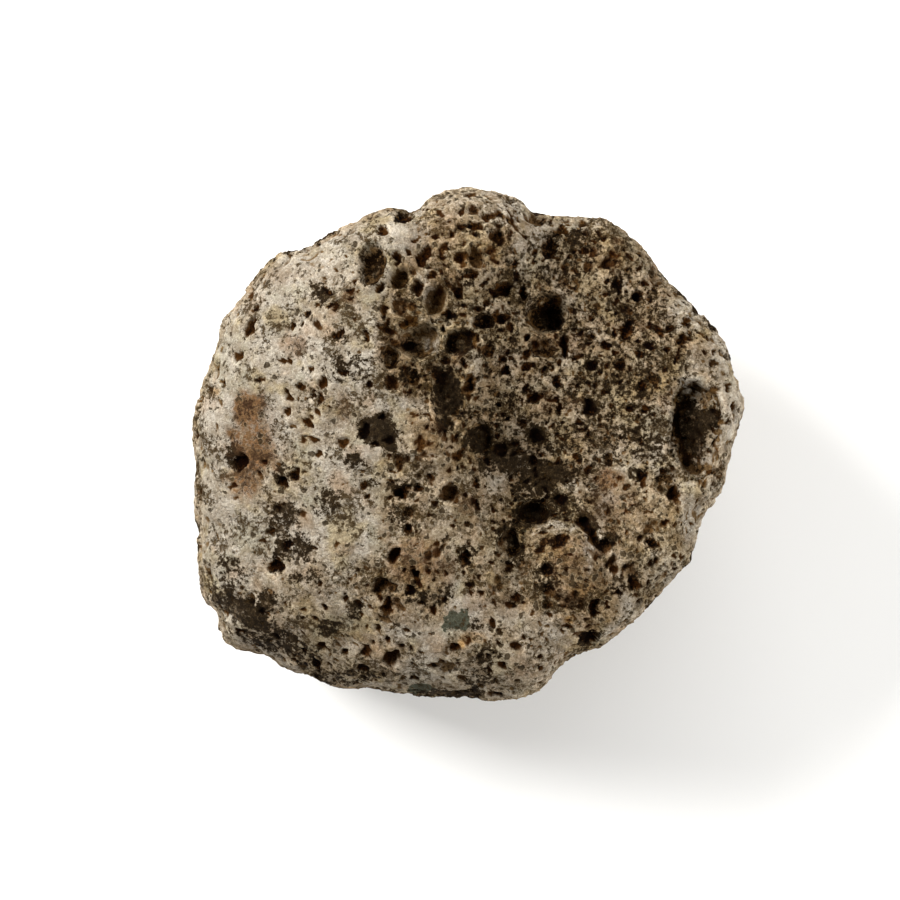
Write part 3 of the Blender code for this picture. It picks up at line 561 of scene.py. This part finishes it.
def pit_depth(points, warp, upper, foam):
    """How deep the vesicles cut in at each point, how much painted shade darkens them, and where they are
    wide and smooth.
    The listed ones are bowls 1 - distance ** power deep, the wide ones steeper and inside a low raised lip;
    the rest is foam. Distances are from warped points, so no rim is round; wide ones are warped less."""
    depth = np.zeros(len(points))
    lip = np.zeros(len(points))
    gloom = np.zeros(len(points))
    smooth = np.zeros(len(points))
    for column, row, half_width, half_height, deep, *turn in PITS:
        width = min(half_width, half_height)
        wide = fade(*WIDE, width)
        warped = points + warp * (1.0 - WIDE_CALM * wide)
        distance = turned(warped, column, row, half_width * STRETCH, half_height * STRETCH, *turn)
        bowl = upper * deep * (1.0 - np.minimum(distance, 1.0) ** (BOWL_POWER + WIDE_POWER * wide))
        depth = np.maximum(depth, bowl)
        gloom = np.maximum(gloom, gloom_of(bowl, width))
        smooth = np.maximum(smooth, upper * wide * (1.0 - fade(*SMOOTH_EDGE, distance)))
        ring = np.exp(-((distance - 1.0) * width / LIP_WIDTH - 1.0) ** 2)
        lip = np.maximum(lip, upper * wide * LIP * ring)
    warped = points + warp
    for layer in FOAM:
        bowls, glooms = lattice_pits(warped, *layer, foam * (1.0 - FOAM_KEPT_OUT * smooth))
        depth = np.maximum(depth, bowls)
        gloom = np.maximum(gloom, glooms)
    return np.where(depth > 0.0, depth, -lip), gloom, smooth


def patches(points, uneven, upper, spots):
    """Strength of soft-edged patches at each point. Where two meet, the stronger counts."""
    strength = np.zeros(len(points))
    for column, row, half_width, half_height, most, *turn in spots:
        distance = turned(points, column, row, half_width, half_height, *turn) * uneven
        strength = np.maximum(strength, upper * most * (1.0 - fade(*SOFT_EDGE, distance)))
    return strength


def side_patches(points, uneven, hidden, seed):
    """As patches, for round ones scattered over the sides and the underside."""
    count, least, greatest = SIDE_STAINS
    draw = np.random.default_rng(seed)
    strength = np.zeros(len(points))
    for centre in points[draw.choice(np.flatnonzero(hidden), count)]:
        radius = least + (greatest - least) * draw.uniform() ** 2
        distance = np.linalg.norm(points - centre, axis=1) / radius * uneven
        strength = np.maximum(strength, SIDE_STRENGTH * (1.0 - fade(*SOFT_EDGE, distance)))
    return strength


def frayed_forms(body, warp):
    """How far the steep lumps and hollows rise when their edges are read from warped points, so that none is
    an oval: their height at the warped points less their height at the points themselves."""
    def rise(grid):
        return face_height(grid, STEEP_FORMS) - face_height(grid, [])
    return rise(body[:, :2] + warp[:, :2]) - rise(body[:, :2])


def make_stone():
    """The whole weathered surface as one closed mesh, with its stains, the painted shade in its vesicles and
    the painted shade in its crevices and painted highlight on its crests as attributes.
    """
    lattice, quads = cube_grid(SPANS)
    cube = np.tan((lattice * 2.0 / SPANS - 1.0) * math.pi / 4.0)
    sphere = cube / np.linalg.norm(cube, axis=1, keepdims=True)
    body, upper, out = stone_body(sphere, FORMS)
    place = above_origin(body)
    normal = outward(above_origin(stone_body(sphere, [])[0]), quads)
    side = 1.0 - fade(*SIDE_SLOPE, normal[:, 2])

    warp = np.stack([sum(reach * lattice_noise(body, wavelength, seed + at)
                         for at, (wavelength, reach) in enumerate(FRAYING)) for seed in FRAY_SEEDS], axis=1)
    ragged = 1.0 + layered(body, RAGGED)
    foam = np.maximum(patches(body, ragged, upper, FOAMY), LEFT_FOAM) * (1.0 - side) + SIDE_FOAM * side
    depth, gloom, smooth = pit_depth(body, warp, upper, foam)
    roll = held_in(layered(place, ROLLS) * (1.0 + (SIDE_ROLL - 1.0) * side), out)
    grit = layered(place * (1.0, 1.0, UPRIGHT), GRIT)
    notch = np.maximum(lattice_noise(place, NOTCH_LENGTH, NOTCH_SEED), 0.0)
    place[:, 2] += upper * frayed_forms(body, warp) * (1.0 - fade(*FORMS_HELD, out))
    grit *= CALM_GRIT + (1.0 - CALM_GRIT) * np.maximum(foam, side)
    grit -= (RIM_SINK + NOTCH * notch) * fade(*RIM_SINKS, out)
    place += normal * (roll + grit - depth)[:, None]
    place[:, 2] = np.maximum(place[:, 2], 0.0)

    final = outward(place, quads)
    near = np.sum((place - smoothed(place, quads, NEAR_ROUNDS)) * final, axis=1)
    far = np.sum((place - smoothed(place, quads, FAR_ROUNDS)) * final, axis=1)
    uneven = 1.0 + layered(body, UNEVEN)
    hidden = (normal[:, 2] < 0.0) | ~upper

    def stains(spots, seed, share=1.0):
        scattered = share * side_patches(body, uneven, hidden, seed)
        return np.maximum(patches(body, uneven, upper, spots), scattered)

    masks = {
        # painted shade inside the vesicles, tinted brown
        "hollow_shade_and_stain": gloom,
        # crests get painted highlight and crevices painted shade from this
        "edge": np.clip(0.5 + EDGE_NEAR * near + EDGE_FAR * far, 0.0, 1.0),
        # soot, and painted shade over the bowl, beside the knob and along the lower edge
        "soot_and_shade": stains(SOOT_AND_SHADE, SOOT_AND_SHADE_SEED),
        "rust": stains(RUST, RUST_SEED, SIDE_RUST),
        "ochre": patches(body, uneven, upper, OCHRE),
        "greenstone": patches(body, uneven, upper, GREENSTONE),
        # washed patches, and painted highlight on lit lips and ridges
        "clean_and_lit": stains(CLEAN_AND_LIT, CLEAN_AND_LIT_SEED),
        "smooth": smooth,
        "foam": np.minimum(foam, MOST_FOAM),
    }
    mesh = bpy.data.meshes.new("tuff_surface")
    mesh.from_pydata(place * CELL, [], quads)
    mesh.shade_smooth()
    for name, values in masks.items():
        held = mesh.attributes.new(name, "FLOAT", "POINT")
        held.data.foreach_set("value", values.astype(np.float32))
    stone = bpy.data.objects.new("tuff_surface", mesh)
    bpy.context.scene.collection.objects.link(stone)
    return stone


# Materials

def node(tree, kind, **settings):
    """A new node with its properties and its unlinked inputs set."""
    made = tree.nodes.new(kind)
    for key, value in settings.items():
        if key.startswith("in_"):
            made.inputs[key[3:].replace("_", " ")].default_value = value
        else:
            setattr(made, key, value)
    return made


def plug(tree, made, slot, value):
    """Links a socket into a node's input, or sets the input to a number or a colour."""
    if isinstance(value, bpy.types.NodeSocket):
        tree.links.new(value, made.inputs[slot])
    elif isinstance(value, tuple):
        made.inputs[slot].default_value = (*value, 1.0)
    else:
        made.inputs[slot].default_value = value


def calculate(tree, operation, one, two=0.0, three=0.0):
    """A Math node's output for sockets or numbers."""
    made = node(tree, "ShaderNodeMath", operation=operation)
    for slot, value in enumerate((one, two, three)):
        plug(tree, made, slot, value)
    return made.outputs[0]


def mix_colour(tree, share, one, two, blend="MIX"):
    """A colour mixed from two, by a share that is a socket or a number."""
    made = node(tree, "ShaderNodeMix", data_type="RGBA", blend_type=blend)
    for slot, value in ((0, share), (6, one), (7, two)):
        plug(tree, made, slot, value)
    return made.outputs[2]


def ramp(tree, value, low, high, top=1.0):
    """Smooth step of a socket from 0 at low to top at high; low and high may be sockets."""
    made = node(tree, "ShaderNodeMapRange", interpolation_type="SMOOTHSTEP")
    for slot, item in ((0, value), (1, low), (2, high), (4, top)):
        plug(tree, made, slot, item)
    return made.outputs[0]


def noise(tree, vector, wavelength, detail, roughness, shift=0.0):
    """Fractal noise, 0 to 1, of a wavelength in metres."""
    made = node(tree, "ShaderNodeTexNoise", in_Scale=1.0 / wavelength, in_Detail=detail,
                in_Roughness=roughness)
    moved = node(tree, "ShaderNodeMapping", in_Location=(shift, -shift, 2.0 * shift))
    tree.links.new(vector, moved.inputs["Vector"])
    tree.links.new(moved.outputs["Vector"], made.inputs["Vector"])
    return made.outputs["Fac"]


def colour_noise(tree, vector, wavelength, detail, roughness):
    """Three fractal noises at once, as a colour, of a wavelength in metres."""
    made = node(tree, "ShaderNodeTexNoise", in_Scale=1.0 / wavelength, in_Detail=detail,
                in_Roughness=roughness)
    tree.links.new(vector, made.inputs["Vector"])
    return made.outputs["Color"]


def attribute(tree, name):
    """Values that the mesh holds under a name."""
    return node(tree, "ShaderNodeAttribute", attribute_name=name).outputs["Fac"]


# Patterns of the material: wavelength in metres, detail, roughness, and for some a shift of the pattern
CLOUDS = (0.0075, 3.0, 0.6)
CLUMPS = (0.0055, 2.0, 0.6, 0.7)
MOTTLE = (0.0009, 4.0, 0.8)
STAINS = (0.0022, 3.0, 0.7, 0.4)
GRAIN = (0.0005, 2.0, 0.9)
FRAY = (0.0011, 1.0, 0.6)
FRAY_REACH = 0.0014         # metres that the small vesicles' outlines stray
VESICLES = 0.0013           # metres between the small vesicles' centres
RELIEF = 0.00025            # metres of relief that the bump stands for

# How soot and painted shade fray: the sum of a shift, the stains' strength and two patterns turns dark over
# a range, and to coal over another. Ranges are low, high and, for some, the share reached at the top
SOOT_AND_SHADE_SHIFT = -1.7
SOOT_AND_SHADE_WEIGHT = 0.75
SOOT_AND_SHADE_MOTTLE = 2.2
SOOT_AND_SHADE_STAIN = 1.2
SOOT_AND_SHADE_RANGE = (0.17, 0.62)
SOOT_AND_SHADE_SETS_IN = (0.0, 0.30)
COAL_RANGE = (0.70, 1.00, 0.65)

# Ranges of the clouds over which the matrix takes on its tints
GREY_RANGE = (0.40, 0.66)
PEACH_RANGE = (0.52, 0.68, 0.5)
STRAW_RANGE = (0.47, 0.34, 0.7)
SAGE_RANGE = (0.52, 0.66, 0.6)
GOLD_RANGE = (0.56, 0.42)

# How the mottle turns to dark grains: the level where nothing else counts, how much each thing moves it, and
# how far above it a grain is full
GRAIN_LEVEL = 0.825
GRAINS_IN_CLEAN_AND_LIT = 0.05
GRAINS_IN_SOOT_AND_SHADE = -0.16
GRAINS_IN_CLUMPS = -0.6
GRAINS_IN_FOAM = -0.03
GRAINS_IN_SMOOTH = 0.05
GRAIN_SPREAD = 0.09
CORE_LEVEL = 0.46           # least mottle at which a grain has a darker core, and how far above it is full
CORE_SPREAD = 0.10

# Colours, linear
PALE = (0.350, 0.317, 0.266)
GREY = (0.265, 0.233, 0.185)
PEACH = (0.31, 0.21, 0.135)
STRAW = (0.28, 0.225, 0.125)
SAGE = (0.25, 0.235, 0.175)
FOAM_COLOUR = (0.240, 0.163, 0.075)
GOLD = (0.215, 0.128, 0.046)
SPECK_RIM = (0.056, 0.036, 0.015)
# dark grains, and the painted shade inside the small vesicles
SPECK_AND_HOLE_SHADE = (0.022, 0.0120, 0.0034)
CHARCOAL = (0.0085, 0.0048, 0.0018)
# rim of the grains in soot and in painted shade
SOOTY_AND_SHADED_RIM = (0.025, 0.0155, 0.0065)
COAL = (0.014, 0.0092, 0.0050)
RUST_COLOUR = (0.135, 0.073, 0.034)
RUSTY_SPECK = (0.050, 0.024, 0.011)
OCHRE_COLOUR = (0.33, 0.17, 0.035)
GREEN_COLOUR = (0.052, 0.054, 0.037)
BROWN = (0.105, 0.066, 0.028)
SHADE = (0.055, 0.036, 0.019)
# washed patches, and painted highlight
WASHED_AND_LIT = (0.350, 0.320, 0.272)
INSIDE = (0.250, 0.190, 0.110)
# painted shade inside the vesicles, tinted brown as by their coating
HOLLOW_SHADE_AND_STAIN = (0.27, 0.165, 0.070)
# painted shade in crevices, browned as by dirt
CREVICE_SHADE_AND_DIRT = (0.44, 0.32, 0.19)
RING = (0.36, 0.30, 0.20)
PEPPER = (0.46, 0.42, 0.36)     # this and the next two multiply the colour under them
SALT = (1.40, 1.39, 1.36)
# painted highlight on crests, partly wear
CREST_HIGHLIGHT_AND_WEAR = (1.28, 1.27, 1.24)


def cells(tree, vector, spacing):
    """Distance from the nearest point of a jittered lattice, in spacings, and a number drawn for it."""
    made = node(tree, "ShaderNodeTexVoronoi", in_Scale=1.0 / spacing)
    tree.links.new(vector, made.inputs["Vector"])
    drawn = node(tree, "ShaderNodeSeparateColor")
    tree.links.new(made.outputs["Color"], drawn.inputs["Color"])
    return made.outputs["Distance"], drawn.outputs["Red"]


def tuff_material():
    """Ash matrix in clouds of pale, grey, peach and sage, mottled with ragged dark and brown grains and open
    vesicles, their insides painted dark as shade, thicker on soot, painted shade and foam and thinner on
    washed patches and painted highlight; rust, ochre and greenstone stains; painted shade, tinted brown, in
    crevices and hollows, painted highlight on crests; and a fine grain in relief."""
    material = bpy.data.materials.new("weathered_tuff")
    material.use_nodes = True
    tree = material.node_tree
    shader = tree.nodes["Principled BSDF"]
    turned_down = node(tree, "ShaderNodeMapping", in_Scale=(1.0, 1.0, UPRIGHT))
    tree.links.new(node(tree, "ShaderNodeTexCoord").outputs["Object"], turned_down.inputs["Vector"])
    spot = turned_down.outputs["Vector"]
    soot_and_shade, rust, clean_and_lit, hollow_shade_and_stain, foam, edge, smooth = (
        attribute(tree, name) for name in ("soot_and_shade", "rust", "clean_and_lit", "hollow_shade_and_stain", "foam", "edge", "smooth"))

    cloud = colour_noise(tree, spot, *CLOUDS)
    clouds = node(tree, "ShaderNodeSeparateColor")
    tree.links.new(cloud, clouds.inputs["Color"])
    cloud_grey, cloud_warm, cloud_cool = clouds.outputs
    clump = noise(tree, spot, *CLUMPS)
    mottle = noise(tree, spot, *MOTTLE)
    stain = noise(tree, spot, *STAINS)
    grain = noise(tree, spot, *GRAIN)

    # soot and painted shade, their edges frayed by two patterns
    frayed = SOOT_AND_SHADE_SHIFT
    for value, weight in ((soot_and_shade, SOOT_AND_SHADE_WEIGHT), (mottle, SOOT_AND_SHADE_MOTTLE), (stain, SOOT_AND_SHADE_STAIN)):
        frayed = calculate(tree, "MULTIPLY_ADD", value, weight, frayed)
    soot_and_shade = calculate(tree, "MULTIPLY", ramp(tree, frayed, *SOOT_AND_SHADE_RANGE), ramp(tree, soot_and_shade, *SOOT_AND_SHADE_SETS_IN))

    # ragged dark grains
    level = GRAIN_LEVEL
    for value, shift in (
        (clean_and_lit, GRAINS_IN_CLEAN_AND_LIT), (soot_and_shade, GRAINS_IN_SOOT_AND_SHADE), (clump, GRAINS_IN_CLUMPS),
        (foam, GRAINS_IN_FOAM), (smooth, GRAINS_IN_SMOOTH),
    ):
        level = calculate(tree, "MULTIPLY_ADD", value, shift, level)
    deeper = calculate(tree, "ADD", level, GRAIN_SPREAD)
    speck = ramp(tree, mottle, level, deeper)
    inner = calculate(tree, "MAXIMUM", deeper, CORE_LEVEL)
    core = ramp(tree, mottle, inner, calculate(tree, "ADD", inner, CORE_SPREAD))

    # small open vesicles, their coordinates frayed so that none is round; their dark insides are painted
    # shade
    shift = node(tree, "ShaderNodeVectorMath", operation="MULTIPLY_ADD")
    tree.links.new(colour_noise(tree, spot, *FRAY), shift.inputs[0])
    shift.inputs[1].default_value = (FRAY_REACH, FRAY_REACH, FRAY_REACH)
    tree.links.new(spot, shift.inputs[2])
    distance, drawn = cells(tree, shift.outputs[0], VESICLES)
    share = calculate(tree, "MULTIPLY_ADD", foam, 0.6, 0.08)
    reach = calculate(tree, "MULTIPLY_ADD", ramp(tree, drawn, share, 0.0), 0.30, 0.14)
    present = calculate(tree, "LESS_THAN", drawn, share)
    holes = ramp(tree, distance, calculate(tree, "ADD", reach, 0.05),
                 calculate(tree, "SUBTRACT", reach, 0.08))
    holes = calculate(tree, "MULTIPLY", holes, present)
    rings = ramp(tree, distance, calculate(tree, "ADD", reach, 0.20), calculate(tree, "ADD", reach, 0.08))
    rings = calculate(tree, "MULTIPLY", rings, present)
    plain = calculate(tree, "SUBTRACT", 1.0, calculate(tree, "MAXIMUM", soot_and_shade, smooth))
    rings = calculate(tree, "MULTIPLY", rings, plain)

    # matrix
    matrix = PALE
    for pattern, reach, tint in (
        (cloud_grey, GREY_RANGE, GREY), (cloud_warm, PEACH_RANGE, PEACH), (cloud_warm, STRAW_RANGE, STRAW),
        (cloud_cool, SAGE_RANGE, SAGE),
    ):
        matrix = mix_colour(tree, ramp(tree, pattern, *reach), matrix, tint)
    foamy = mix_colour(tree, ramp(tree, cloud_cool, *GOLD_RANGE), FOAM_COLOUR, GOLD)
    matrix = mix_colour(tree, calculate(tree, "MULTIPLY", foam, 0.8), matrix, foamy)
    matrix = mix_colour(tree, calculate(tree, "MULTIPLY", smooth, 0.5), matrix, INSIDE)
    # washed patches, and painted highlight on lit lips and ridges, pale the matrix
    matrix = mix_colour(tree, calculate(tree, "MULTIPLY", clean_and_lit, 0.45), matrix, WASHED_AND_LIT)
    patchy = calculate(tree, "MULTIPLY_ADD", ramp(tree, mottle, 0.56, 0.44), 0.45, 0.55)
    matrix = mix_colour(tree, calculate(tree, "MULTIPLY", rust, patchy), matrix, RUST_COLOUR)
    ochre = calculate(tree, "MULTIPLY", attribute(tree, "ochre"), 0.6)
    matrix = mix_colour(tree, ochre, matrix, OCHRE_COLOUR)
    browned = calculate(tree, "MULTIPLY_ADD", foam, 0.50, calculate(tree, "MULTIPLY_ADD", soot_and_shade, 0.3, 0.25))
    browned = calculate(tree, "MULTIPLY", ramp(tree, stain, 0.46, 0.56), browned)
    matrix = mix_colour(tree, browned, matrix, BROWN)
    # soot and painted shade darken the matrix
    matrix = mix_colour(tree, calculate(tree, "MULTIPLY", soot_and_shade, 0.80), matrix, SHADE)
    green = calculate(tree, "MULTIPLY_ADD", calculate(tree, "SUBTRACT", stain, 0.5), 2.4,
                      attribute(tree, "greenstone"))
    matrix = mix_colour(tree, ramp(tree, green, 0.45, 0.65, 0.97), matrix, GREEN_COLOUR)

    flecks = mix_colour(tree, core, mix_colour(tree, soot_and_shade, SPECK_RIM, SOOTY_AND_SHADED_RIM),
                        mix_colour(tree, soot_and_shade, SPECK_AND_HOLE_SHADE, CHARCOAL))
    flecks = mix_colour(tree, calculate(tree, "MULTIPLY", rust, 0.7), flecks, RUSTY_SPECK)
    colour = mix_colour(tree, calculate(tree, "MULTIPLY", speck, 0.95), matrix, flecks)
    colour = mix_colour(tree, ramp(tree, frayed, *COAL_RANGE), colour, COAL)
    colour = mix_colour(tree, calculate(tree, "MULTIPLY", rings, 0.5), colour,
                        mix_colour(tree, 0.5, matrix, RING))
    # painted shade inside the small vesicles
    colour = mix_colour(tree, calculate(tree, "MULTIPLY", holes, 0.85), colour, SPECK_AND_HOLE_SHADE)
    grained = calculate(tree, "MULTIPLY_ADD", foam, 0.5, 0.5)
    colour = mix_colour(tree, calculate(tree, "MULTIPLY", ramp(tree, grain, 0.40, 0.62), grained), colour,
                        mix_colour(tree, 1.0, colour, PEPPER, "MULTIPLY"))
    colour = mix_colour(tree, ramp(tree, grain, 0.46, 0.28, 0.8), colour,
                        mix_colour(tree, 1.0, colour, SALT, "MULTIPLY"))
    # painted shade inside the vesicles, with a ragged edge
    fraying = calculate(tree, "MULTIPLY_ADD", smooth, -0.9, 1.2)
    ragged = calculate(tree, "MULTIPLY_ADD", calculate(tree, "SUBTRACT", mottle, 0.5), fraying, hollow_shade_and_stain)
    hollow_shade_and_stain = calculate(tree, "MULTIPLY", ramp(tree, ragged, 0.10, 0.60), ramp(tree, hollow_shade_and_stain, 0.0, 1.0))
    # painted shade in crevices and painted highlight on crests
    ragged = calculate(tree, "MULTIPLY_ADD", grain, 0.5, calculate(tree, "SUBTRACT", edge, 0.25))
    for share, tint in (
        (hollow_shade_and_stain, HOLLOW_SHADE_AND_STAIN),
        (ramp(tree, edge, 0.46, 0.20), CREVICE_SHADE_AND_DIRT),
        (ramp(tree, ragged, 0.55, 0.80), CREST_HIGHLIGHT_AND_WEAR),
    ):
        colour = mix_colour(tree, share, colour, mix_colour(tree, 1.0, colour, tint, "MULTIPLY"))
    tree.links.new(colour, shader.inputs["Base Color"])

    height = calculate(tree, "MULTIPLY_ADD", speck, -0.6, calculate(tree, "MULTIPLY", grain, 1.8))
    height = calculate(tree, "MULTIPLY_ADD", holes, -1.6, height)
    bump = node(tree, "ShaderNodeBump", in_Strength=1.0, in_Distance=RELIEF)
    tree.links.new(height, bump.inputs["Height"])
    tree.links.new(bump.outputs["Normal"], shader.inputs["Normal"])
    shader.inputs["Roughness"].default_value = 0.93
    shader.inputs["Specular IOR Level"].default_value = 0.03
    return material


# Stage

LENS = 1000.0               # mm, on a 36 mm sensor
SENSOR = 36.0
VIEW_CENTRE = (450.0, 450.0)    # grid point in the middle of the view
VIEW_WIDTH = 900.0          # grid steps across the view
FOCUS_HEIGHT = 170.0        # height, in grid steps, at which the view is that wide
# Soft boxes: name, bearing in degrees from +X towards +Y, elevation in degrees, distance, size, watts
SOFT_BOXES = [("key", 148.0, 36.0, 1.0, 0.50, 19.6), ("rim", -20.0, 27.0, 1.0, 0.80, 11.5),
              ("back", 75.0, 30.0, 1.0, 0.80, 5.5)]
LAMP_COLOUR = (1.0, 0.99, 0.97)
SKY = 0.29                  # strength of the even light
FLOOR_HALF = 6.0            # metres
FLOOR_COLOUR = (0.90, 0.90, 0.89)


def make_camera():
    """A long lens that looks straight down on the face."""
    camera = bpy.data.cameras.new("camera")
    camera.lens = LENS
    camera.sensor_width = SENSOR
    camera.clip_end = 20.0
    holder = bpy.data.objects.new("camera", camera)
    holder.location = ((VIEW_CENTRE[0] - MIDDLE[0]) * CELL, (MIDDLE[1] - VIEW_CENTRE[1]) * CELL,
                       FOCUS_HEIGHT * CELL + VIEW_WIDTH * CELL * LENS / SENSOR)
    bpy.context.scene.collection.objects.link(holder)
    bpy.context.scene.camera = holder


def make_light():
    """A soft box on the upper left, weaker ones on the right and behind, and an even pale sky."""
    for name, bearing, elevation, distance, size, watts in SOFT_BOXES:
        around, up = math.radians(bearing), math.radians(elevation)
        lamp = bpy.data.lights.new(name, "AREA")
        lamp.size = size
        lamp.energy = watts
        lamp.color = LAMP_COLOUR
        holder = bpy.data.objects.new(name, lamp)
        away = distance * math.cos(up)
        holder.location = (away * math.cos(around), away * math.sin(around), distance * math.sin(up))
        holder.rotation_euler = (math.pi / 2 - up, 0.0, around + math.pi / 2)
        holder.visible_camera = False
        bpy.context.scene.collection.objects.link(holder)
    world = bpy.data.worlds.new("sky")
    bpy.context.scene.world = world
    world.use_nodes = True
    background = world.node_tree.nodes["Background"]
    background.inputs["Color"].default_value = (1.0, 1.0, 1.0, 1.0)
    background.inputs["Strength"].default_value = SKY


def make_floor():
    """A wide pale floor."""
    half = FLOOR_HALF
    corners = [(-half, -half, 0), (half, -half, 0), (half, half, 0), (-half, half, 0)]
    mesh = bpy.data.meshes.new("floor")
    mesh.from_pydata(corners, [], [(0, 1, 2, 3)])
    floor = bpy.data.objects.new("floor", mesh)
    bpy.context.scene.collection.objects.link(floor)
    material = bpy.data.materials.new("pale_floor")
    material.use_nodes = True
    shader = material.node_tree.nodes["Principled BSDF"]
    shader.inputs["Base Color"].default_value = (*FLOOR_COLOUR, 1.0)
    shader.inputs["Roughness"].default_value = 0.8
    mesh.materials.append(material)


make_camera()
make_light()
make_floor()
stone = make_stone()
stone.data.materials.append(tuff_material())
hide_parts("tuff_stone")
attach(stone, "root")
bpy.context.scene.view_settings.view_transform = "Standard"
